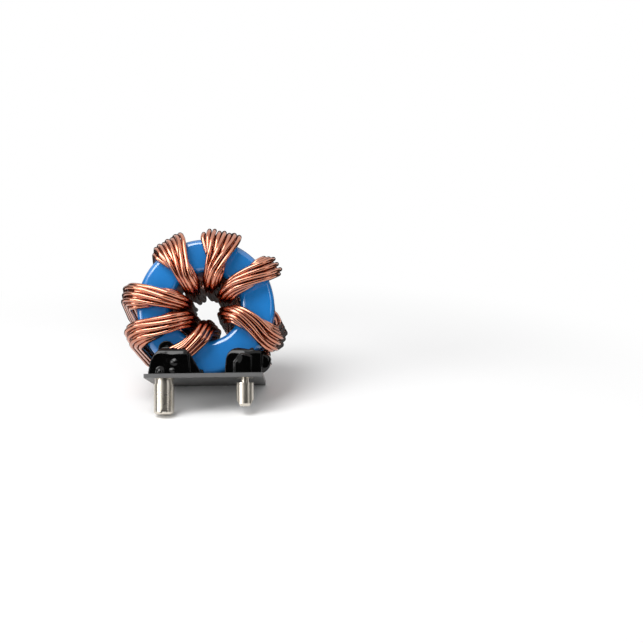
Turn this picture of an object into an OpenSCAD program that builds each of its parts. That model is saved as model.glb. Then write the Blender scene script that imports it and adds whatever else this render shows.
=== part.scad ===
// Toroidal power inductor for board mounting: a coated ring core stands on edge
// on a thin base plate, wound with seven turns of a bundle of enamelled copper
// strands. The bundle's two ends are tinned into round pins that pass
// through the base, and a mass of black adhesive holds each of them.
// Upright, X runs along the front edge of the base, the front looks along -Y and
// the underside of the base is z = 0. The loose part then leans back to rest on
// its longer pin and on the rear edge of the base.

/* [Core] */
// Outside diameter of the coated ring
core_od = 27.7; // [27:0.1:28.6]
// Inside diameter of the coated ring
core_id = 14.1; // [13.9:0.1:14.6]
// Length of the ring along its axis
core_h = 11.9; // [10:0.1:13]
// Rounding of the coated edges
core_edge_r = 1.2; // [0.9:0.1:1.5]

/* [Winding] */
// Diameter of one enamelled strand
strand_d = 0.83; // [0.8:0.01:0.85]
// Room between neighbouring strands
strand_gap = 0.13; // [0.11:0.01:0.15]
// Room between the bundle and what it lies on
winding_gap = 0.1; // [0.08:0.01:0.14]
// Sideways pitch of the strands in the bore, where the bundle lies tight, in strand pitches
tight_pitch = 1; // [0.98:0.01:1.03]
// Sideways pitch of the strands round the rim, where the bundle lies flat, in strand pitches
flat_pitch = 1.3; // [1.24:0.01:1.36]

/* [Base] */
// Width of the base plate, along its front edge
base_w = 23.2; // [22:0.1:28]
// Depth of the base plate, front to rear
base_d = 22; // [20:0.1:26]
// Thickness of the base plate
base_t = 0.8; // [0.6:0.1:1.6]
// Glue line between the ring and the base
core_seat = 0.1; // [0.05:0.05:0.3]

/* [Tinned ends] */
// Distance from the middle of a pin to the end of the base
pin_inset = 3.65; // [3:0.05:4.2]
// Diameter of the left pin
left_pin_d = 4; // [3.6:0.1:4.4]
// Length of the left pin below the base
left_pin_l = 7; // [5:0.1:9]
// Diameter of the right pin
right_pin_d = 3.4; // [3:0.1:4]
// Length of the right pin below the base
right_pin_l = 5.6; // [4:0.1:7]
// Height of the left pin's upper end above the base
left_pin_rise = 1.2; // [0.8:0.1:1.8]
// Room between a pin and its hole in the base
pin_clearance = 0.1; // [0.05:0.01:0.2]
// Depth of the left pin's neck, close under the base
left_neck = 0.2; // [0.1:0.05:0.6]
// Depth of the right pin's neck, close under the base
right_neck = 0.95; // [0.3:0.05:1.1]
// Height of a pin's neck
neck_h = 1; // [0.6:0.1:1.4]
// Chamfer round a pin's tip
tip_chamfer = 0.45; // [0.2:0.05:0.7]
// Width of the grooves between the strands in the left pin's tip
groove_w = 0.35; // [0.2:0.05:0.5]
// Depth of those grooves
groove_depth = 0.25; // [0.1:0.05:0.4]
// Radius of the solder bead that joins the right pin to its strands
bead_r = 2.2; // [2:0.1:2.3]

/* [Adhesive] */
// Height of the left adhesive above the base
left_adhesive_h = 5.2; // [4.5:0.1:6]
// Height of the right adhesive above the base
right_adhesive_h = 5.2; // [5:0.1:6.2]
// Room between the adhesive and the pieces it holds
adhesive_gap = 0.08; // [0.04:0.01:0.15]
// Thickness of the adhesive in front of the leads
adhesive_wall = 0.45; // [0.3:0.05:0.6]
// Distance that the left adhesive reaches from its pin towards the middle of the base
left_adhesive_w = 7.6; // [6.6:0.1:7.8]
// Distance that the right adhesive reaches from its pin towards the middle of the base
right_adhesive_w = 3.9; // [3.6:0.1:4.6]
// Distance that the adhesive reaches along the foot of the core, from its middle
adhesive_reach = 5; // [3:0.1:6]

/* [Hidden] */
$fn = 64;

// Strands in each row of the bundle, from the row that lies on the core outwards
bundle_rows = [2, 3, 4, 3, 2];
middle_row = 2;
// Place of each strand in the bundle, sideways and outwards from its middle, in pitches
row_step = sqrt(3) / 2;
bundle = [for (row = [0 : len(bundle_rows) - 1])
    for (k = [0 : bundle_rows[row] - 1])
        [k - (bundle_rows[row] - 1) / 2, (row - middle_row) * row_step]];
strand_sides = 5;
strand_pitch = strand_d + strand_gap;

// Angles of the turns round the core's axis, as they were laid by hand, where each
// turn crosses the bore's front edge, its mouth, its middle and its rear edge and,
// for the turns that have a next one, the rim's front edge
bore_front = [261, 208, 169, 122, 74, 32, -18];
bore_mouth = [270, 219, 173, 124, 75, 28, -21];
bore_middle = [284, 232, 180, 129, 78, 27, -24];
bore_rear = [268, 215, 165, 115, 66, 18, -31];
rim_front = [203, 172, 121, 77, 31, -27];
end_lead_angle = -47;

// Share of the way from the bore's rear edge to the rim's front edge at which the
// bundle has reached each station on its way
rear_shares = [0.06, 0.32, 0.64, 0.79, 1];
// Share of the way from the middle of the bore to its rear edge where the bundle turns
bore_share = 0.7;

// How far each turn stands off the core, in the bore and round the rim
bore_lifts = [0.1, 0.3, 0.3, 0.2, 0.1, 0.1, 0.1];
rim_lifts = [0.1, 0, 0, 0, 0.2, 0, 0];

// Lay of the strands: how far the bundle has turned about itself on each face
rim_lay = 60;
rear_lay = 30;
front_lays = [30, 30, 40, 40, 30, 30];

// How the bundle is packed: [sideways stretch, outward stretch, share to which it is
// pressed into two layers], each in pitches of the tight bundle
bore_pack = [tight_pitch, 1, 0];
bore_edge_pack = [1.1, 1, 0];
rear_edge_pack = [1.2, 1.07, 0];
rear_pack = [1.2, 1.12, 0];
rim_rear_pack = [1.38, 1, 0];
rim_pack = [flat_pitch, 0.9, 0];
rim_packs = [rim_pack, rim_pack, [1.09, 1, 0.8], [1.2, 1, 0.8], rim_pack, rim_pack];
front_pack = [1.25, 0.98, 0];
front_packs = [front_pack, front_pack, [1.36, 1, 0], [1.5, 1, 0], front_pack, front_pack];
lead_pack = [1.06, 1, 0];
end_pack = [1.04, 1, 0];
layer_pitch = 0.95;

// Overshoot of cutting shapes
cut = 1;
// Slant, length and spacing of the grooves in the left tip, and the cut of the right one
groove_slant = 35;
groove_l = 2.2;
groove_step = 0.6;
pinch_angle = 30;
pinch_w = 1.8;
// Place of the solder bead beside its pin, and room between the tin and the strands' ends
bead_shift = 0.6;
bead_rise = 2;
end_gap = 0.2;
// Rounding along the adhesive's upper front edge, and height of its foot under the core
adhesive_round = 1.4;
adhesive_foot_h = 2.2;
// Where each foot starts, from its pin
left_foot_x = 0.6;
right_foot_x = -2;
// Bulge of the left adhesive behind the start lead: place from its pin and size
bulge_x = 0.4;
bulge_rise = 5.2;
bulge_r = 1.6;
bulge_l = 2.2;
// Outlines of the adhesive from the front: [share of its reach, share of its height]
left_outline = [[-0.38, 0], [-0.1, 0.96], [-0.04, 1], [0.5, 1], [0.66, 0.88], [1, 0]];
right_outline = [[-1, 0], [-0.95, 0.54], [-0.84, 0.76], [-0.62, 0.93], [-0.33, 1],
    [0.06, 0.94], [0.2, 0.91]];
// Nub on the right adhesive, as [distance from the pin, share of the height], and
// the share of the height at its right end
right_nub = [[1.05, 0.91], [1.15, 0.98], [1.75, 0.98], [1.9, 0.88]];
right_end_share = 0.83;

core_r = core_od / 2;
bore_r = core_id / 2;
core_z = base_t + core_seat + core_r;
left_pin_x = pin_inset - base_w / 2;
right_pin_x = base_w / 2 - pin_inset;
left_pin_top = base_t + left_pin_rise;

// Centres of the rounding along the ring's edges
edge_y = core_h / 2 - core_edge_r;
rim_edge_r = core_r - core_edge_r;
bore_edge_r = bore_r + core_edge_r;
mid_face_r = (rim_edge_r + bore_edge_r) / 2;
half_mitre = 22.5;

// Directions off the core's faces, as [away from the axis, along the axis]
outwards = [1, 0];
inwards = [-1, 0];
frontwards = [0, -1];
rearwards = [0, 1];

strand_names = [for (k = [1 : len(bundle)]) str("strand_", k < 10 ? "0" : "", k)];

function unit(v) = v / norm(v);
function mix(a, b, t) = a + (b - a) * t;

// Point at a radius, a place along the core's axis and an angle round it
function around(r, y, angle) = [r * cos(angle), y, core_z + r * sin(angle)];

// Places of the strands where the bundle has turned by a lay, sideways from its
// middle and outwards from its lowest strand
function places(lay, pack) =
    let (turned = [for (p = bundle) [p.x * cos(lay) - p.y * sin(lay), p.x * sin(lay) + p.y * cos(lay)]])
    let (lowest = min([for (p = turned) p.y]))
    [for (p = turned) strand_pitch * [p.x * pack[0] * (1 + pack[2]),
        mix((p.y - lowest) * pack[1], p.y > 0 ? layer_pitch : 0, pack[2])]];

function height(places) = max([for (p = places) p.y]);

// Height of the lowest strand above the centre of the edge rounding
lift_off = core_edge_r + winding_gap + strand_d / 2;

// A station of the winding: [foot under the core's surface, direction outwards,
// places of the strands, height of the lowest, direction of the edge it crosses]
function station(r, y, angle, face, lay, pack, lift = 0, edge = undef) =
    [around(r, y, angle), [face.x * cos(angle), face.y, face.x * sin(angle)],
        places(lay, pack), lift_off + lift, edge];

// A station of the start lead, in line with the front face
function lead_station(x, z) = [[x, -edge_y, z], [0, -1, 0], places(0, lead_pack), lift_off, undef];

function station_middle(place) = place[0] + place[1] * (place[3] + height(place[2]) / 2);

// Two mitred stations that carry the bundle round an edge of the core
function edge_turn(r, y, angles, from, to, lay, packs, lift) =
    [for (k = [0, 1])
        let (a = k == 0 ? half_mitre : 90 - half_mitre)
        station(r, y, angles[k], (from * cos(a) + to * sin(a)) / cos(half_mitre), lay, packs[k], lift,
            [-sin(angles[k]), 0, cos(angles[k])])];

// Where turn k goes after its rear face: the next rim, or the end lead
function next_rim(k) = k < len(rim_front) ? rim_front[k] : end_lead_angle;
function rear_angle(k, share) = mix(bore_rear[k], next_rim(k), share);

// One turn, from the front edge of the bore to the rear edge of the rim
function turn(k) = concat(
    edge_turn(bore_edge_r, -edge_y, [bore_front[k], bore_mouth[k]],
        frontwards, inwards, 0, [bore_edge_pack, bore_pack], bore_lifts[k]),
    [station(bore_edge_r, 0, bore_middle[k], inwards, 0, bore_pack, bore_lifts[k])],
    edge_turn(bore_edge_r, edge_y,
        [mix(bore_middle[k], bore_rear[k], bore_share), rear_angle(k, rear_shares[0])],
        inwards, rearwards, 0, [bore_pack, rear_edge_pack], bore_lifts[k]),
    [station(mid_face_r, edge_y, rear_angle(k, rear_shares[1]), rearwards, rear_lay, rear_pack)],
    edge_turn(rim_edge_r, edge_y, [rear_angle(k, rear_shares[2]), rear_angle(k, rear_shares[3])],
        rearwards, outwards, rim_lay, [rim_rear_pack, rim_pack], rim_lifts[k]),
    k < len(rim_front) ? over_rim(k) : []
);

// The rest of a turn that has a next one: along the rim and down the front face
function over_rim(k) = concat(
    edge_turn(rim_edge_r, -edge_y, [rear_angle(k, rear_shares[4]), rim_front[k]],
        outwards, frontwards, rim_lay, [rim_packs[k], rim_packs[k]], rim_lifts[k]),
    [station(mid_face_r, -edge_y, mix(rim_front[k], bore_front[k + 1], 0.5),
        frontwards, front_lays[k], front_packs[k])]
);

// The pins stand in line with a lead that hangs down the front face
lead_height = height(places(0, lead_pack));
pin_y = -edge_y - lift_off - lead_height / 2;

// The start lead rises from the left pin and bends over towards its first turn:
// [share of the way there, height above the pin]
lead_steps = [[0, end_gap], [0, 1.5], [0.24, 2.5], [0.6, 3.6]];
first_turn_x = station_middle(turn(0)[0]).x;
start_lead = [for (step = lead_steps)
    lead_station(mix(left_pin_x, first_turn_x, step.x), left_pin_top + step.y)];

// The end lead runs forward under the right flank of the core, to the solder bead
end_lead_y = end_gap - core_h / 2;
end_lead = [station(rim_edge_r, end_lead_y, end_lead_angle, outwards, rim_lay, end_pack)];

route = concat(
    start_lead,
    [for (k = [0 : len(bore_front) - 1]) each turn(k)],
    end_lead
);

// Middle of the bundle, its direction and its sideways direction at each station
last = len(route) - 1;
middles = [for (place = route) station_middle(place)];
function along(points, k) = unit(points[min(k + 1, last)] - points[max(k - 1, 0)]);
// Where the bundle crosses an edge of the core, its strands lie side by side along it
sideways = [for (k = [0 : last])
    let (across = unit(cross(along(middles, k), route[k][1])))
    let (edge = route[k][4])
    is_undef(edge) ? across : edge / (edge * across)];

// Centre line of one strand
function strand_path(s) = [for (k = [0 : last])
    let (place = route[k][2][s])
    route[k][0] + route[k][1] * (route[k][3] + place.y) + sideways[k] * place.x];

// One round of points about a centre line
function strand_round(path, k) =
    let (t = along(path, k))
    let (u = unit(sideways[k] - t * (sideways[k] * t)))
    let (v = cross(t, u))
    [for (j = [0 : strand_sides - 1])
        let (a = 360 * j / strand_sides)
        path[k] + (u * cos(a) + v * sin(a)) * strand_d / 2];

// Reach of the round lead about its middle
lead_r = strand_d / 2 + max([for (place = places(0, lead_pack)) norm(place - [0, lead_height / 2])]);
lead_room = max(lead_r, left_pin_d / 2) + adhesive_gap;
bead_centre = [right_pin_x + bead_shift, pin_y + bead_shift, base_t + bead_rise];

// The loose part leans back until its longer pin and the rear edge of its base carry it
left_tip_y = pin_y + left_pin_d / 2 - tip_chamfer;
lean = atan(left_pin_l / (base_d / 2 - left_tip_y));
function leant_y(y, z) = (y - base_d / 2) * cos(lean) + z * sin(lean);
front_y = leant_y(pin_y - left_pin_d / 2, tip_chamfer - left_pin_l);
rear_y = max([for (s = [0 : len(bundle) - 1]) for (p = strand_path(s)) leant_y(p.y, p.z)])
    + strand_d / 2;

module at_rest() {
    translate([0, -(front_y + rear_y) / 2, 0])
        rotate([-lean, 0, 0])
            translate([0, -base_d / 2, 0])
                children();
}

// The coated ring, or the room that it needs when it is grown on all sides
module ring(grow = 0) {
    r = core_edge_r + grow;
    translate([0, 0, core_z])
        rotate([90, 0, 0])
            rotate_extrude() {
                translate([bore_edge_r - r, -edge_y])
                    square([rim_edge_r - bore_edge_r + 2 * r, 2 * edge_y]);
                translate([bore_edge_r, -edge_y - r])
                    square([rim_edge_r - bore_edge_r, 2 * (edge_y + r)]);
                for (edge_r = [bore_edge_r, rim_edge_r])
                    for (y = [-edge_y, edge_y])
                        translate([edge_r, y]) circle(r);
            }
}

module core() {
    color([0.13, 0.28, 0.62]) ring();
}

module base_plate() {
    color([0.2, 0.2, 0.2])
        difference() {
            linear_extrude(base_t) square([base_w, base_d], center = true);
            pin_hole(left_pin_x, left_pin_d);
            pin_hole(right_pin_x, right_pin_d);
        }
}

module pin_hole(x, d) {
    translate([x, pin_y, -cut]) cylinder(d = d + 2 * pin_clearance, h = base_t + 2 * cut);
}

// A round pin from its tip to its top, with a neck close under the base
module pin(x, d, length, top, neck) {
    r = d / 2;
    translate([x, pin_y, 0])
        rotate_extrude()
            polygon([
                [0, -length], [r - tip_chamfer, -length], [r, tip_chamfer - length],
                [r, -neck_h], [r - neck, -neck_h], [r - neck, 0], [r, 0],
                [r, top], [0, top]
            ]);
}

module tinned_end_left() {
    color([0.8, 0.79, 0.76])
        difference() {
            pin(left_pin_x, left_pin_d, left_pin_l, left_pin_top, left_neck);
            for (side = [0, 180])
                translate([left_pin_x, pin_y, -left_pin_l])
                    rotate([0, 0, side])
                        for (x = [-groove_step, groove_step])
                            translate([x, -left_pin_d / 2 - cut, 0])
                                rotate([0, groove_slant, 0])
                                    translate([-groove_w / 2, 0, -cut])
                                        cube([groove_w, cut + groove_depth, cut + groove_l]);
        }
}

module tinned_end_right() {
    color([0.8, 0.79, 0.76])
        difference() {
            union() {
                pin(right_pin_x, right_pin_d, right_pin_l, bead_centre.z, right_neck);
                solder_bead();
            }
            for (side = [0, 180])
                translate([right_pin_x, pin_y, -right_pin_l])
                    rotate([0, 0, side])
                        translate([pinch_w / 2, 0, 0])
                            rotate([0, pinch_angle, 0])
                                translate([0, -right_pin_d, -right_pin_d])
                                    cube(2 * right_pin_d);
        }
}

// The bead stands on the base and ends flat against the strands of the end lead
module solder_bead() {
    difference() {
        translate(bead_centre) sphere(bead_r);
        translate([right_pin_x - 2 * bead_r, pin_y - 2 * bead_r, base_t - 2 * bead_r])
            cube([6 * bead_r, 6 * bead_r, 2 * bead_r]);
        translate([right_pin_x - 2 * bead_r, end_lead_y - end_gap, 0])
            cube([6 * bead_r, 4 * bead_r, 6 * bead_r]);
        ring(adhesive_gap);
    }
}

// A mass of adhesive in front of the core, from its outline as seen from the front,
// given as [distance from the pin, height above the base], and a foot under the core
module adhesive_mass(x, outline, front, h, foot_from, foot_to) {
    back = -core_h / 2 - adhesive_gap;
    translate([0, 0, base_t])
        intersection() {
            translate([x, back, 0])
                rotate([90, 0, 0])
                    linear_extrude(back - front) polygon(outline);
            rotate([90, 0, 90])
                translate([0, 0, x - base_w])
                    linear_extrude(2 * base_w) {
                        translate([front, 0]) square([back - front, h - adhesive_round]);
                        translate([front + adhesive_round, 0])
                            square([back - front - adhesive_round, h]);
                        translate([front + adhesive_round, h - adhesive_round])
                            circle(adhesive_round);
                    }
        }
    difference() {
        translate([x + foot_from, back, base_t])
            cube([foot_to - foot_from, adhesive_reach - back, adhesive_foot_h]);
        ring(adhesive_gap);
    }
}

// Room for the start lead and its pin, open towards the front face of the core
module lead_slot(r) {
    translate([0, -core_h / 2, 0])
        rotate([90, 0, 0])
            linear_extrude(-core_h / 2 - pin_y + r) {
                translate([left_pin_x - r, 0]) square([2 * r, middles[1].z]);
                for (k = [1 : len(lead_steps) - 1]) {
                    way = middles[k + 1] - middles[k];
                    translate([middles[k].x, middles[k].z]) {
                        circle(r);
                        rotate(atan2(way.z, way.x)) translate([0, -r]) square([norm(way), 2 * r]);
                    }
                }
            }
}

module adhesive_left() {
    w = left_adhesive_w;
    h = left_adhesive_h;
    front = pin_y - lead_room - adhesive_wall;
    outline = [for (p = left_outline) [p.x * w, p.y * h]];
    color([0.05, 0.05, 0.05])
        difference() {
            union() {
                adhesive_mass(left_pin_x, outline, front, h, left_foot_x, w);
                translate([left_pin_x + bulge_x, -core_h / 2 - adhesive_gap, base_t + bulge_rise])
                    rotate([90, 0, 0]) cylinder(r = bulge_r, h = bulge_l);
            }
            lead_slot(lead_room);
        }
}

module adhesive_right() {
    w = right_adhesive_w;
    h = right_adhesive_h;
    side = bead_r + bead_shift + adhesive_gap + adhesive_wall;
    outline = concat([for (p = right_outline) [p.x * w, p.y * h]],
        [for (p = right_nub) [p.x, p.y * h]], [[side, right_end_share * h], [side, 0]]);
    color([0.05, 0.05, 0.05])
        difference() {
            adhesive_mass(right_pin_x, outline, pin_y + 2 * bead_shift - side, h, -w, right_foot_x);
            translate(bead_centre) sphere(bead_r + adhesive_gap);
            translate([right_pin_x, pin_y, 0])
                cylinder(d = right_pin_d + 2 * adhesive_gap, h = bead_centre.z);
        }
}

module strand(s) {
    path = strand_path(s);
    n = strand_sides;
    points = [for (k = [0 : last]) each strand_round(path, k)];
    first_end = [[for (j = [n - 1 : -1 : 0]) j]];
    last_end = [[for (j = [0 : n - 1]) last * n + j]];
    sides = [for (k = [0 : last - 1]) for (j = [0 : n - 1])
        let (a = k * n + j)
        let (b = k * n + (j + 1) % n)
        each [[a, b, b + n], [a, b + n, a + n]]];
    color([0.66, 0.35, 0.2]) polyhedron(points, concat(first_end, sides, last_end));
}

at_rest() core();
at_rest() base_plate();
at_rest() tinned_end_left();
at_rest() tinned_end_right();
at_rest() adhesive_left();
at_rest() adhesive_right();
for (s = [0 : len(bundle) - 1])
    at_rest() strand(s);
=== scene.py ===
"""Looks of the toroidal power inductor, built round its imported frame."""
import math

import bpy
from mathutils import Matrix, Vector


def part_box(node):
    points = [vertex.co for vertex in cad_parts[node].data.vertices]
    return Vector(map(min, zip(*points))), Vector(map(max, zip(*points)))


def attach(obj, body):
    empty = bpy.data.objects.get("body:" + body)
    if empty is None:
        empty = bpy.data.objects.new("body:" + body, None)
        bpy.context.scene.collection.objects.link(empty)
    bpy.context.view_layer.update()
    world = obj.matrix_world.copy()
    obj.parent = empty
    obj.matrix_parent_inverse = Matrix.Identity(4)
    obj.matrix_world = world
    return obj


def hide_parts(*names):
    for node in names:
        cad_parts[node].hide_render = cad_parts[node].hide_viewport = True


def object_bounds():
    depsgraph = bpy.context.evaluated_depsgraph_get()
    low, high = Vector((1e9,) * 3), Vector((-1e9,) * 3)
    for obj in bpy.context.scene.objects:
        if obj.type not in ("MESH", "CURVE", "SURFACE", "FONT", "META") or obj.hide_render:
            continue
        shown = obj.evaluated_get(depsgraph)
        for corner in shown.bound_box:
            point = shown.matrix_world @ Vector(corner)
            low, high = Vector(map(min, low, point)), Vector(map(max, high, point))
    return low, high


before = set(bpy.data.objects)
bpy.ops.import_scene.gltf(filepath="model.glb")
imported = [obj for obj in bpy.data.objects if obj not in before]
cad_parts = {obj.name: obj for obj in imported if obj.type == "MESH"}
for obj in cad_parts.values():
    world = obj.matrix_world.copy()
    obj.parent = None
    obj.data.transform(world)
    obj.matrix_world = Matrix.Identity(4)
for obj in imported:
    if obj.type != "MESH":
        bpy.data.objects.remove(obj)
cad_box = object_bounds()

# Sizes of the part in millimetres, upright: X along the front edge, the front looks along -Y
CORE_OD, CORE_ID, CORE_H, CORE_EDGE_R = 27.7, 14.1, 11.9, 1.2
STRAND_D, STRAND_GAP, WINDING_GAP = 0.83, 0.13, 0.1
BASE_W, BASE_D, BASE_T, CORE_SEAT = 23.2, 22, 0.8, 0.1
PIN_INSET, LEFT_PIN_D, LEFT_PIN_L, LEFT_PIN_RISE = 3.65, 4, 7, 1.2
TIP_CHAMFER, END_GAP = 0.45, 0.2
# The wires are drawn a little thicker than the solids, so that the bundle closes up as in the photograph
WIRE_D = 0.9
# Bends of a wire in steps, sides of its section, and the least distance between its rings
TUBE_STEPS, TUBE_SIDES, NEAR = 6, 10, 0.02
# Steps round an edge of the core and round the core
EDGE_STEPS, CORE_SEGMENTS = 8, 128
PLATE_BEVEL, PIN_BEVEL = 0.12, 0.08
# The adhesive: round of its upper front edge, foot under the core, gap to the core, wall and grain of its cast
ADHESIVE_ROUND, ADHESIVE_FOOT_H, ADHESIVE_GAP, ADHESIVE_WALL, ADHESIVE_REACH = 1.4, 2.2, 0.08, 0.45, 5
CAST_GRAIN = 0.11
LEFT_H, RIGHT_H, LEFT_W, RIGHT_W = 5.2, 5.2, 7.6, 3.9
BULGE_X, BULGE_Z, BULGE_R, BULGE_DEPTH = 0.4, 5.2, 1.6, 2.2
BEAD_R, BEAD_SHIFT = 2.2, 0.6
# The right adhesive's cover over the ends of the strands
COVER_SHIFT, COVER_RADII = Vector((0, -0.2, 0)), Vector((2.45, 0.8, 2.4))

# The floor in metres: half its width, and the distances between which it fades to white
FLOOR_HALF, FLOOR_NEAR, FLOOR_FAR = 3, 0.05, 0.12

# Camera as fitted to the photograph: turns in degrees, offsets in millimetres, focal length in pixels
VIEW_TURN, VIEW_TILT, VIEW_ROLL = 1.6, -7.7, -0.9
VIEW_OFFSET = Vector((-23.5, 225, 2.3))
VIEW_FOCAL, IMAGE_SIZE, SENSOR = 1090, 643, 36

MM = 0.001
CORE_R, BORE_R = CORE_OD / 2, CORE_ID / 2
CORE_Z = BASE_T + CORE_SEAT + CORE_R
EDGE_Y = CORE_H / 2 - CORE_EDGE_R
RIM_EDGE_R, BORE_EDGE_R = CORE_R - CORE_EDGE_R, BORE_R + CORE_EDGE_R
MID_FACE_R = (RIM_EDGE_R + BORE_EDGE_R) / 2
LEFT_PIN_X = PIN_INSET - BASE_W / 2
LEFT_PIN_TOP = BASE_T + LEFT_PIN_RISE
LIFT_OFF = CORE_EDGE_R + WINDING_GAP + STRAND_D / 2
RIGHT_PIN_X = -LEFT_PIN_X
ADHESIVE_BACK = -CORE_H / 2 - ADHESIVE_GAP

# The winding's route, turn by turn: angles round the core's axis in degrees
BORE_FRONT = [261, 208, 169, 122, 74, 32, -18]
BORE_MOUTH = [270, 219, 173, 124, 75, 28, -21]
BORE_MIDDLE = [284, 232, 180, 129, 78, 27, -24]
BORE_REAR = [268, 215, 165, 115, 66, 18, -31]
RIM_FRONT = [203, 172, 121, 77, 31, -27]
END_LEAD = -47
# Shares of the way from the bore's rear edge to the rim's front edge, and of the way through the bore's rear half
REAR_SHARES = [0.06, 0.32, 0.64, 0.79, 1]
BORE_SHARE = 0.7
# How far each turn stands off the core
BORE_LIFTS = [0.1, 0.3, 0.3, 0.2, 0.1, 0.1, 0.1]
RIM_LIFTS = [0.1, 0, 0, 0, 0.2, 0, 0]
# Start lead: share of the way to the first turn, and height above the pin
LEAD_STEPS = [(0, END_GAP), (0, 1.5), (0.24, 2.5), (0.6, 3.6)]
# How far the bundle has turned about itself on each face
RIM_LAY, REAR_LAY = 60, 30
FRONT_LAYS = [30, 30, 40, 40, 30, 30]
# How the bundle is packed: sideways stretch, outward stretch, share to which it is pressed into two layers
BORE_PACK, BORE_EDGE_PACK = (1, 1, 0), (1.1, 1, 0)
REAR_EDGE_PACK, REAR_PACK, RIM_REAR_PACK = (1.2, 1.07, 0), (1.2, 1.12, 0), (1.38, 1, 0)
RIM_PACK, FRONT_PACK = (1.3, 0.9, 0), (1.25, 0.98, 0)
RIM_PACKS = [RIM_PACK, RIM_PACK, (1.09, 1, 0.8), (1.2, 1, 0.8), RIM_PACK, RIM_PACK]
FRONT_PACKS = [FRONT_PACK, FRONT_PACK, (1.36, 1, 0), (1.5, 1, 0), FRONT_PACK, FRONT_PACK]
LEAD_PACK, END_PACK = (1.06, 1, 0), (1.04, 1, 0)
LAYER_PITCH = 0.95
BUNDLE_ROWS = [2, 3, 4, 3, 2]
HALF_MITRE = 22.5

OUTWARDS, INWARDS, FRONTWARDS, REARWARDS = (1, 0), (-1, 0), (0, -1), (0, 1)


def mix(a, b, t):
    return a + (b - a) * t


def cosd(a):
    return math.cos(math.radians(a))


def sind(a):
    return math.sin(math.radians(a))


# The winding

PLACES = [Vector((k - (n - 1) / 2, (row - 2) * math.sqrt(3) / 2))
          for row, n in enumerate(BUNDLE_ROWS) for k in range(n)]


def bundle_places(lay, pack):
    """Places of the strands, sideways from the middle and up from the lowest, where the bundle has turned by a lay."""
    side, rise, pressed = pack
    turned = [Vector((p.x * cosd(lay) - p.y * sind(lay), p.x * sind(lay) + p.y * cosd(lay))) for p in PLACES]
    low = min(p.y for p in turned)
    return [Vector((p.x * side * (1 + pressed),
                    mix((p.y - low) * rise, LAYER_PITCH if p.y > 0 else 0, pressed))) * (STRAND_D + STRAND_GAP)
            for p in turned]


class Station:
    """A place on the bundle's way: foot under the core's surface, direction outwards and packing."""

    def __init__(self, foot, outward, lay, pack, lift=0, edge=None):
        self.foot, self.outward, self.edge = foot, outward, edge
        self.rise = LIFT_OFF + lift
        self.places = bundle_places(lay, pack)
        self.middle = foot + outward * (self.rise + max(p.y for p in self.places) / 2)


def on_core(r, y, angle, face, lay, pack, lift=0, on_edge=False):
    c, s = cosd(angle), sind(angle)
    edge = Vector((-s, 0, c)) if on_edge else None
    return Station(Vector((r * c, y, CORE_Z + r * s)), Vector((face[0] * c, face[1], face[0] * s)),
                   lay, pack, lift, edge)


def edge_turn(r, y, angles, start, end, lay, packs, lift):
    """Two mitred stations that carry the bundle round an edge of the core."""
    stations = []
    for angle, pack, a in zip(angles, packs, (HALF_MITRE, 90 - HALF_MITRE)):
        face = [(f * cosd(a) + t * sind(a)) / cosd(HALF_MITRE) for f, t in zip(start, end)]
        stations.append(on_core(r, y, angle, face, lay, pack, lift, True))
    return stations


def turn(k):
    """One turn, from the front edge of the bore to the middle of the front face after it."""
    next_rim = (RIM_FRONT + [END_LEAD])[k]
    rear = [mix(BORE_REAR[k], next_rim, share) for share in REAR_SHARES]
    bore_leaving = mix(BORE_MIDDLE[k], BORE_REAR[k], BORE_SHARE)
    stations = edge_turn(BORE_EDGE_R, -EDGE_Y, (BORE_FRONT[k], BORE_MOUTH[k]), FRONTWARDS, INWARDS,
                         0, (BORE_EDGE_PACK, BORE_PACK), BORE_LIFTS[k])
    stations.append(on_core(BORE_EDGE_R, 0, BORE_MIDDLE[k], INWARDS, 0, BORE_PACK, BORE_LIFTS[k]))
    stations += edge_turn(BORE_EDGE_R, EDGE_Y, (bore_leaving, rear[0]), INWARDS, REARWARDS,
                          0, (BORE_PACK, REAR_EDGE_PACK), BORE_LIFTS[k])
    stations.append(on_core(MID_FACE_R, EDGE_Y, rear[1], REARWARDS, REAR_LAY, REAR_PACK))
    stations += edge_turn(RIM_EDGE_R, EDGE_Y, rear[2:4], REARWARDS, OUTWARDS,
                          RIM_LAY, (RIM_REAR_PACK, RIM_PACK), RIM_LIFTS[k])
    if k < len(RIM_FRONT):
        stations += edge_turn(RIM_EDGE_R, -EDGE_Y, (rear[4], RIM_FRONT[k]), OUTWARDS, FRONTWARDS,
                              RIM_LAY, (RIM_PACKS[k], RIM_PACKS[k]), RIM_LIFTS[k])
        stations.append(on_core(MID_FACE_R, -EDGE_Y, mix(RIM_FRONT[k], BORE_FRONT[k + 1], 0.5),
                                FRONTWARDS, FRONT_LAYS[k], FRONT_PACKS[k]))
    return stations


lead_height = max(p.y for p in bundle_places(0, LEAD_PACK))
PIN_Y = -EDGE_Y - LIFT_OFF - lead_height / 2


def start_lead():
    first_x = turn(0)[0].middle.x
    return [Station(Vector((mix(LEFT_PIN_X, first_x, share), -EDGE_Y, LEFT_PIN_TOP + rise)),
                    Vector((0, -1, 0)), 0, LEAD_PACK) for share, rise in LEAD_STEPS]


route = start_lead() + [s for k in range(len(BORE_FRONT)) for s in turn(k)]
route.append(on_core(RIM_EDGE_R, END_GAP - CORE_H / 2, END_LEAD, OUTWARDS, RIM_LAY, END_PACK))


def along(points, k):
    return (points[min(k + 1, len(points) - 1)] - points[max(k - 1, 0)]).normalized()


def sideways(k):
    """Direction across the bundle, along the core's edge where it crosses one."""
    across = along([s.middle for s in route], k).cross(route[k].outward).normalized()
    edge = route[k].edge
    return across if edge is None else edge / edge.dot(across)


across_route = [sideways(k) for k in range(len(route))]


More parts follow.
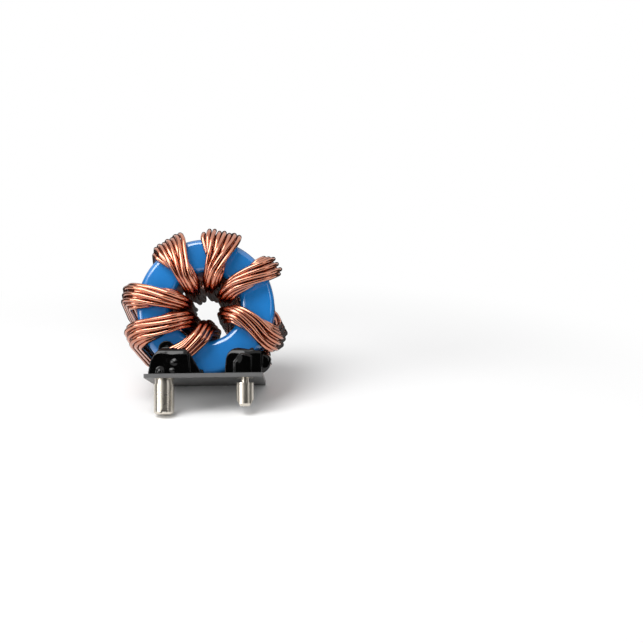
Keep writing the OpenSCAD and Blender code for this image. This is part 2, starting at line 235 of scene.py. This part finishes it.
def strand_path(n):
    return [s.foot + s.outward * (s.rise + s.places[n].y) + across * s.places[n].x
            for s, across in zip(route, across_route)]


# From the upright part to the loose part at rest, in metres

left_tip_y = PIN_Y + LEFT_PIN_D / 2 - TIP_CHAMFER
LEAN = math.atan(LEFT_PIN_L / (BASE_D / 2 - left_tip_y))
LEAN_TURN = Matrix.Rotation(-LEAN, 4, "X")
plate_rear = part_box("base_plate")[1].y / MM - BASE_T * math.sin(LEAN)
AT_REST = (Matrix.Scale(MM, 4) @ Matrix.Translation((0, plate_rear, 0)) @ LEAN_TURN
           @ Matrix.Translation((0, -BASE_D / 2, 0)))


# Pieces

def add_piece(name, points, faces, material, node):
    """A smooth mesh piece in place of a node of the frame."""
    mesh = bpy.data.meshes.new(name)
    mesh.from_pydata([AT_REST @ p for p in points], [], faces)
    mesh.materials.append(material)
    mesh.shade_smooth()
    piece = bpy.data.objects.new(name, mesh)
    bpy.context.collection.objects.link(piece)
    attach(piece, "root")
    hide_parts(node)
    return piece


def round_path(points, count):
    """The path with each corner rounded as far as the middle of its shorter side."""
    path = [points[0]]
    for before, corner, after in zip(points, points[1:], points[2:]):
        reach = min((corner - before).length, (after - corner).length) / 2
        start = corner + (before - corner).normalized() * reach
        end = corner + (after - corner).normalized() * reach
        for k in range(count + 1):
            s = k / count
            path.append((1 - s)**2 * start + 2 * s * (1 - s) * corner + s**2 * end)
    path.append(points[-1])
    return [q for q, after in zip(path, path[1:]) if (after - q).length > NEAR] + [path[-1]]


def tube(path, radius, sides):
    """Points and faces of a closed tube along a path."""
    points, faces = [], []
    across = along(path, 0).orthogonal().normalized()
    for k, centre in enumerate(path):
        t = along(path, k)
        across = (across - t * across.dot(t)).normalized()
        up = t.cross(across)
        points += [centre + (across * cosd(a) + up * sind(a)) * radius
                   for a in (360 * j / sides for j in range(sides))]
    for k in range(len(path) - 1):
        for j in range(sides):
            a, b = k * sides + j, k * sides + (j + 1) % sides
            faces.append((a, b, b + sides, a + sides))
    faces.append(tuple(range(sides))[::-1])
    faces.append(tuple(range(len(points) - sides, len(points))))
    return points, faces


# Materials

def new_material(name):
    material = bpy.data.materials.new(name)
    material.use_nodes = True
    tree = material.node_tree
    return material, tree, tree.nodes["Principled BSDF"]


def noise_node(tree, scale, detail=3):
    place = tree.nodes.new("ShaderNodeTexCoord")
    texture = tree.nodes.new("ShaderNodeTexNoise")
    texture.inputs["Scale"].default_value = scale
    texture.inputs["Detail"].default_value = detail
    tree.links.new(place.outputs["Object"], texture.inputs["Vector"])
    return texture.outputs["Fac"]


def vary(tree, fac, target, stops):
    """Drives a colour or a number of the shader by a factor, from the first stop to the last: mostly a noise, and on
    the laminate a noise with painted light and shade by the way each face turns.
    """
    ramp = tree.nodes.new("ShaderNodeValToRGB")
    for element, (place, colour) in zip(ramp.color_ramp.elements, stops):
        element.position = place
        element.color = colour
    tree.links.new(fac, ramp.inputs["Fac"])
    tree.links.new(ramp.outputs["Color"], target)


def bump(tree, shader, fac, strength, distance):
    node = tree.nodes.new("ShaderNodeBump")
    node.inputs["Strength"].default_value = strength
    node.inputs["Distance"].default_value = distance
    tree.links.new(fac, node.inputs["Height"])
    tree.links.new(node.outputs["Normal"], shader.inputs["Normal"])


def grey(v):
    return (v, v, v, 1)


def coating_material():
    material, tree, shader = new_material("core_coating")
    vary(tree, noise_node(tree, 260), shader.inputs["Base Color"],
         [(0.35, (0.004, 0.14, 0.41, 1)), (0.7, (0.006, 0.155, 0.45, 1))])
    shader.inputs["Roughness"].default_value = 0.35
    shader.inputs["Specular IOR Level"].default_value = 0.15
    shader.inputs["Coat Weight"].default_value = 0.8
    shader.inputs["Coat Roughness"].default_value = 0.07
    shader.inputs["Coat IOR"].default_value = 1.9
    bump(tree, shader, noise_node(tree, 300), 0.04, 0.0002)
    return material


def copper_material():
    material, tree, shader = new_material("copper")
    vary(tree, noise_node(tree, 420), shader.inputs["Base Color"],
         [(0.3, (0.42, 0.1, 0.03, 1)), (0.7, (0.58, 0.17, 0.06, 1))])
    vary(tree, noise_node(tree, 700), shader.inputs["Roughness"], [(0.3, grey(0.16)), (0.7, grey(0.25))])
    shader.inputs["Metallic"].default_value = 1
    shader.inputs["Coat Weight"].default_value = 1
    shader.inputs["Coat Roughness"].default_value = 0.08
    shader.inputs["Coat IOR"].default_value = 2
    return material


def laminate_material():
    material, tree, shader = new_material("laminate")
    # Painted light and shade: the plate's top and underside are painted darker and its edges lighter, by which way
    # each face turns, with a little grain mixed in.
    face = tree.nodes.new("ShaderNodeNewGeometry")
    level = tree.nodes.new("ShaderNodeVectorMath")
    level.operation = "DOT_PRODUCT"
    level.inputs[1].default_value = LEAN_TURN.to_3x3() @ Vector((0, 0, 1))
    tree.links.new(face.outputs["Normal"], level.inputs[0])
    flat = tree.nodes.new("ShaderNodeMath")
    flat.operation = "ABSOLUTE"
    tree.links.new(level.outputs["Value"], flat.inputs[0])
    grain_and_painted_shade = tree.nodes.new("ShaderNodeMath")
    grain_and_painted_shade.operation = "MULTIPLY_ADD"
    grain_and_painted_shade.inputs[1].default_value = 0.3
    tree.links.new(noise_node(tree, 600), grain_and_painted_shade.inputs[0])
    tree.links.new(flat.outputs[0], grain_and_painted_shade.inputs[2])
    vary(tree, grain_and_painted_shade.outputs[0], shader.inputs["Base Color"], [(0.1, grey(0.085)), (1.2 / 1.3, grey(0.035))])
    shader.inputs["Roughness"].default_value = 0.35
    return material


def tin_material():
    material, tree, shader = new_material("tin")
    vary(tree, noise_node(tree, 200, 1), shader.inputs["Base Color"],
         [(0.3, (0.63, 0.58, 0.5, 1)), (0.7, (0.69, 0.65, 0.58, 1))])
    vary(tree, noise_node(tree, 90, 1), shader.inputs["Roughness"], [(0.3, grey(0.26)), (0.7, grey(0.29))])
    shader.inputs["Metallic"].default_value = 1
    return material


def adhesive_material():
    material, tree, shader = new_material("adhesive")
    vary(tree, noise_node(tree, 350), shader.inputs["Base Color"],
         [(0.3, grey(0.0004)), (0.7, grey(0.0008))])
    shader.inputs["Roughness"].default_value = 0.08
    shader.inputs["Specular IOR Level"].default_value = 0.3
    bump(tree, shader, noise_node(tree, 240, 1), 0.5, 0.0015)
    return material


coating, copper, laminate = coating_material(), copper_material(), laminate_material()
tin, adhesive = tin_material(), adhesive_material()

# The winding's strands

for n in range(len(PLACES)):
    strand = f"strand_{n + 1:02d}"
    points, faces = tube(round_path(strand_path(n), TUBE_STEPS), WIRE_D / 2, TUBE_SIDES)
    add_piece(f"{strand}_wire", points, faces, copper, strand)


# The core, turned from its profile

def core_profile():
    corners = [(RIM_EDGE_R, -EDGE_Y, -90), (RIM_EDGE_R, EDGE_Y, 0),
               (BORE_EDGE_R, EDGE_Y, 90), (BORE_EDGE_R, -EDGE_Y, 180)]
    return [(r + CORE_EDGE_R * cosd(start + 90 * k / EDGE_STEPS), y + CORE_EDGE_R * sind(start + 90 * k / EDGE_STEPS))
            for r, y, start in corners for k in range(EDGE_STEPS + 1)]


def lathe(profile, segments):
    """Points and faces of a ring turned about the core's axis."""
    n = len(profile)
    points = [Vector((r * cosd(a), y, CORE_Z + r * sind(a)))
              for a in (360 * k / segments for k in range(segments)) for r, y in profile]
    faces = [(k * n + j, k * n + (j + 1) % n, (k + 1) % segments * n + (j + 1) % n, (k + 1) % segments * n + j)
             for k in range(segments) for j in range(n)]
    return points, faces


points, faces = lathe(core_profile(), CORE_SEGMENTS)
add_piece("core_ring", points, faces, coating, "core")


# Pieces shown by their own solids

def dress(node, material, bevel):
    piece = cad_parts[node]
    piece.data.materials.clear()
    piece.data.materials.append(material)
    modifier = piece.modifiers.new("edges", "BEVEL")
    modifier.width = bevel * MM
    modifier.segments = 2


dress("base_plate", laminate, PLATE_BEVEL)
dress("tinned_end_left", tin, PIN_BEVEL)
dress("tinned_end_right", tin, PIN_BEVEL)


# The adhesive: smooth masses cast round the leads, from their outlines as seen from the front

def between(outline, x):
    """Height of an outline, given as [place, height], at a place along it."""
    for (ax, az), (bx, bz) in zip(outline, outline[1:]):
        if ax <= x <= bx:
            return mix(az, bz, (x - ax) / (bx - ax))
    return 0


def bed(xs, ys, top):
    """Points and faces of a closed mass that stands on the base, with its top at a height over each place."""
    n = len(ys)
    points = [Vector((x, y, BASE_T + z * top(x, y))) for z in (0, 1) for x in xs for y in ys]
    floor_of = len(xs) * n
    faces = []
    for i in range(len(xs) - 1):
        for j in range(n - 1):
            a = i * n + j
            faces.append((a, a + 1, a + n + 1, a + n))
            faces.append(tuple(floor_of + v for v in (a + n, a + n + 1, a + 1, a)))
    ring = ([j for j in range(n)] + [i * n + n - 1 for i in range(1, len(xs))]
            + [(len(xs) - 1) * n + j for j in range(n - 2, -1, -1)] + [i * n for i in range(len(xs) - 2, 0, -1)])
    for a, b in zip(ring, ring[1:] + ring[:1]):
        faces.append((b, a, a + floor_of, b + floor_of))
    return points, faces


def steps(start, end, count):
    return [mix(start, end, k / (count - 1)) for k in range(count)]


def mass(pin_x, outline, front, h):
    """The mass in front of the core, rounded along its upper front edge."""
    def top(x, y):
        short = max(front + ADHESIVE_ROUND - y, 0)
        ceiling = h - ADHESIVE_ROUND + math.sqrt(max(ADHESIVE_ROUND**2 - short**2, 0))
        return max(min(between(outline, x - pin_x), ceiling), 0.05)
    return bed(steps(pin_x + outline[0][0], pin_x + outline[-1][0], 60), steps(front, ADHESIVE_BACK, 30), top)


def foot(start, end):
    """The foot under the core, up to the coated rim."""
    def top(x, y):
        inset = max(abs(y) - EDGE_Y, 0)
        rim = RIM_EDGE_R + math.sqrt(max(CORE_EDGE_R**2 - inset**2, 0)) + ADHESIVE_GAP
        return min(ADHESIVE_FOOT_H, CORE_Z - BASE_T - math.sqrt(max(rim**2 - x**2, 0)))
    return bed(steps(start, end, 30), steps(ADHESIVE_BACK - 0.3, ADHESIVE_REACH, 30), top)


def prism(outline, front, back):
    """A slab with an outline as seen from the front."""
    n = len(outline)
    points = [Vector((x, y, z)) for y in (front, back) for x, z in outline]
    faces = [tuple(range(n)), tuple(range(2 * n - 1, n - 1, -1))]
    faces += [((k + 1) % n, k, k + n, (k + 1) % n + n) for k in range(n)]
    return points, faces


def disc(x, z, r):
    return [(x + r * cosd(a), z + r * sind(a)) for a in range(0, 360, 15)]


def drop(centre, radii, rounds=12, sides=20):
    """A rounded drop that swells out of a mass, cut off at the base."""
    points = [Vector((0, 0, -1))]
    for i in range(1, rounds):
        tilt = 180 * i / rounds - 90
        points += [Vector((cosd(tilt) * cosd(a), cosd(tilt) * sind(a), sind(tilt)))
                   for a in (360 * j / sides for j in range(sides))]
    points.append(Vector((0, 0, 1)))
    points = [centre + Vector((p.x * radii.x, p.y * radii.y, p.z * radii.z)) for p in points]
    for p in points:
        p.z = max(p.z, BASE_T)
    top = len(points) - 1
    faces = [(0, 1 + (j + 1) % sides, 1 + j) for j in range(sides)]
    for i in range(rounds - 2):
        for j in range(sides):
            a, b = 1 + i * sides + j, 1 + i * sides + (j + 1) % sides
            faces.append((a, b, b + sides, a + sides))
    faces += [(top, top - sides + j, top - sides + (j + 1) % sides) for j in range(sides)]
    return points, faces


def cast(name, solids, node):
    """One smooth mass from overlapping solids."""
    points, faces = [], []
    for some_points, some_faces in solids:
        faces += [tuple(v + len(points) for v in face) for face in some_faces]
        points += some_points
    piece = add_piece(name, points, faces, adhesive, node)
    remesh = piece.modifiers.new("cast", "REMESH")
    remesh.mode = "VOXEL"
    remesh.voxel_size = CAST_GRAIN * MM
    remesh.use_smooth_shade = True
    smooth = piece.modifiers.new("flow", "SMOOTH")
    smooth.factor = 0.5
    smooth.iterations = 9


lead_r = STRAND_D / 2 + max((p - Vector((0, lead_height / 2))).length for p in bundle_places(0, LEAD_PACK))
left_front = PIN_Y - max(lead_r, LEFT_PIN_D / 2) - ADHESIVE_GAP - ADHESIVE_WALL
left_outline = [(-2.89, 0), (-2.5, 2.3), (-1.8, 3.7), (-0.76, 4.99), (-0.3, 5.2), (3.8, 5.2),
                (4.6, 4.75), (5, 3.6), (5.3, 0)]
left_lobe = [(4.5, 0), (4.9, 4.4), (5.3, 3.9), (7.6, 0)]
left_solids = [
    mass(LEFT_PIN_X, left_outline, left_front, LEFT_H),
    mass(LEFT_PIN_X, left_lobe, left_front + 0.5, LEFT_H),
    foot(LEFT_PIN_X + 0.6, LEFT_PIN_X + LEFT_W),
    prism(disc(LEFT_PIN_X + BULGE_X, BASE_T + BULGE_Z, BULGE_R), ADHESIVE_BACK - BULGE_DEPTH, ADHESIVE_BACK),
    drop(Vector((LEFT_PIN_X - 0.5, left_front + 0.45, BASE_T + 0.3)), Vector((0.9, 0.9, 1.2))),
    drop(Vector((LEFT_PIN_X + 2.3, left_front + 0.7, BASE_T + 2.2)), Vector((1.1, 0.95, 1))),
    drop(Vector((LEFT_PIN_X + 1.9, left_front + 0.6, BASE_T + 0.6)), Vector((0.9, 0.8, 0.6))),
]
cast("adhesive_left_mass", left_solids, "adhesive_left")

right_side = BEAD_R + BEAD_SHIFT + ADHESIVE_GAP + ADHESIVE_WALL
right_front = PIN_Y + 2 * BEAD_SHIFT - right_side
right_outline = [(-3.9, 0), (-3.7, 2.81), (-3.28, 3.95), (-2.42, 4.84), (-1.29, 5.2), (0.23, 4.89), (0.78, 4.73),
                 (1.05, 4.73), (1.15, 5.1), (1.75, 5.1), (1.9, 4.58), (right_side, 4.32)]
right_panel = [(-2, 0), (1.3, 0), (1.3, 3.3), (-0.65, 3.9), (-2, 2)]
right_solids = [
    mass(RIGHT_PIN_X, right_outline, right_front + 0.25, RIGHT_H),
    prism([(RIGHT_PIN_X + x, BASE_T + z) for x, z in right_panel], right_front, right_front + 1),
    foot(RIGHT_PIN_X - RIGHT_W, RIGHT_PIN_X - 2),
    drop(route[-1].middle + COVER_SHIFT, COVER_RADII),
]
cast("adhesive_right_mass", right_solids, "adhesive_right")

# Stage

floor_mesh = bpy.data.meshes.new("floor")
floor_mesh.from_pydata([(x, y, 0) for x, y in ((-FLOOR_HALF, -FLOOR_HALF), (FLOOR_HALF, -FLOOR_HALF),
                                               (FLOOR_HALF, FLOOR_HALF), (-FLOOR_HALF, FLOOR_HALF))],
                       [], [(0, 1, 2, 3)])
floor = bpy.data.objects.new("floor", floor_mesh)
bpy.context.collection.objects.link(floor)


def seen_rays(tree):
    """One for rays that show the background: from the camera, in reflections and through glass."""
    rays = tree.nodes.new("ShaderNodeLightPath")
    seen = rays.outputs["Is Camera Ray"]
    for name in ("Is Glossy Ray", "Is Transmission Ray"):
        most = tree.nodes.new("ShaderNodeMath")
        most.operation = "MAXIMUM"
        tree.links.new(seen, most.inputs[0])
        tree.links.new(rays.outputs[name], most.inputs[1])
        seen = most.outputs[0]
    return seen


def floor_material():
    """Pale where the object's shadow falls, and white like the background further out."""
    material, tree, shader = new_material("floor")
    vary(tree, noise_node(tree, 3), shader.inputs["Base Color"], [(0.3, grey(0.86)), (0.7, grey(0.88))])
    shader.inputs["Roughness"].default_value = 0.9
    shader.inputs["Specular IOR Level"].default_value = 0.1
    place = tree.nodes.new("ShaderNodeTexCoord")
    far = tree.nodes.new("ShaderNodeVectorMath")
    far.operation = "LENGTH"
    tree.links.new(place.outputs["Object"], far.inputs[0])
    fade = tree.nodes.new("ShaderNodeMapRange")
    fade.interpolation_type = "SMOOTHSTEP"
    fade.inputs["From Min"].default_value = FLOOR_NEAR
    fade.inputs["From Max"].default_value = FLOOR_FAR
    tree.links.new(far.outputs["Value"], fade.inputs["Value"])
    both = tree.nodes.new("ShaderNodeMath")
    both.operation = "MULTIPLY"
    tree.links.new(fade.outputs["Result"], both.inputs[0])
    tree.links.new(seen_rays(tree), both.inputs[1])
    white = tree.nodes.new("ShaderNodeEmission")
    mixed = tree.nodes.new("ShaderNodeMixShader")
    tree.links.new(both.outputs[0], mixed.inputs["Fac"])
    tree.links.new(shader.outputs["BSDF"], mixed.inputs[1])
    tree.links.new(white.outputs["Emission"], mixed.inputs[2])
    tree.links.new(mixed.outputs["Shader"], tree.nodes["Material Output"].inputs["Surface"])
    return material


floor_mesh.materials.append(floor_material())


# Dark cards, seen only in reflections, that give the metal and the coats their contrast

def card_material():
    material, tree, shader = new_material("card")
    vary(tree, noise_node(tree, 4), shader.inputs["Base Color"], [(0.3, grey(0.01)), (0.7, grey(0.02))])
    shader.inputs["Roughness"].default_value = 1
    return material


card_look = card_material()


def card(name, corners):
    mesh = bpy.data.meshes.new(name)
    mesh.from_pydata(corners, [], [(0, 1, 2, 3)])
    mesh.materials.append(card_look)
    piece = bpy.data.objects.new(name, mesh)
    piece.visible_camera = False
    piece.visible_diffuse = False
    piece.visible_shadow = False
    bpy.context.collection.objects.link(piece)


def upright_card(name, ax, ay, bx, by, top):
    card(name, [(ax, ay, 0.001), (bx, by, 0.001), (bx, by, top), (ax, ay, top)])


card("card_floor", [(-0.4, 0.017, 0.001), (0.4, 0.017, 0.001), (0.4, 0.5, 0.001), (-0.4, 0.5, 0.001)])
upright_card("card_front", -0.2, -0.5, 0.5, -0.5, 0.55)
upright_card("card_left", -0.5, -0.2, -0.5, 0.4, 0.35)
upright_card("card_right", 0.5, -0.5, 0.5, 0.4, 0.35)
upright_card("card_rear", -0.3, 0.5, 0.3, 0.5, 0.3)


def white_world():
    """White to the camera, in reflections and through glass, and a softer light on everything else."""
    world = bpy.data.worlds.new("studio")
    bpy.context.scene.world = world
    world.use_nodes = True
    tree = world.node_tree
    background = tree.nodes["Background"]
    background.inputs["Color"].default_value = (1, 1, 1, 1)
    level = tree.nodes.new("ShaderNodeMapRange")
    level.inputs["To Min"].default_value = 0.45
    level.inputs["To Max"].default_value = 1
    tree.links.new(seen_rays(tree), level.inputs["Value"])
    tree.links.new(level.outputs["Result"], background.inputs["Strength"])


white_world()


def area_light(name, place, target, size, power, in_reflections):
    light = bpy.data.lights.new(name, "AREA")
    light.size = size
    light.energy = power
    lamp = bpy.data.objects.new(name, light)
    lamp.visible_glossy = in_reflections
    lamp.location = place
    lamp.rotation_euler = (Vector(target) - Vector(place)).to_track_quat("-Z", "Y").to_euler()
    bpy.context.collection.objects.link(lamp)


middle = (cad_box[0] + cad_box[1]) / 2
# Name, place from the middle of the object, size, power, and whether reflections show it
LAMPS = [("key", (-0.14, -0.2, 0.38), 0.28, 1.7, True),
         ("left", (-0.38, -0.22, 0.16), 0.2, 0.65, True),
         ("right", (0.38, -0.24, 0.2), 0.16, 0.15, True),
         ("front", (0.05, -0.45, 0.08), 0.35, 0.95, False)]
for name, offset, size, power, in_reflections in LAMPS:
    area_light(name, middle + Vector(offset), middle, size, power, in_reflections)

# Camera, placed in the upright part's frame and leant with it

view_turn = (Matrix.Rotation(math.radians(VIEW_ROLL), 3, "Y") @ Matrix.Rotation(math.radians(VIEW_TILT), 3, "X")
             @ Matrix.Rotation(math.radians(VIEW_TURN), 3, "Z"))
right, forward, up = view_turn
camera_data = bpy.data.cameras.new("camera")
camera_data.sensor_width = SENSOR
camera_data.lens = VIEW_FOCAL / IMAGE_SIZE * SENSOR
camera_data.clip_start = 0.01
camera = bpy.data.objects.new("camera", camera_data)
axes = LEAN_TURN.to_3x3() @ Matrix((right, up, -forward)).transposed()
eye = Vector((0, 0, CORE_Z)) - view_turn.transposed() @ VIEW_OFFSET
camera.matrix_world = Matrix.Translation(AT_REST @ eye) @ axes.to_4x4()
bpy.context.collection.objects.link(camera)
bpy.context.scene.camera = camera
bpy.context.scene.view_settings.view_transform = "Standard"
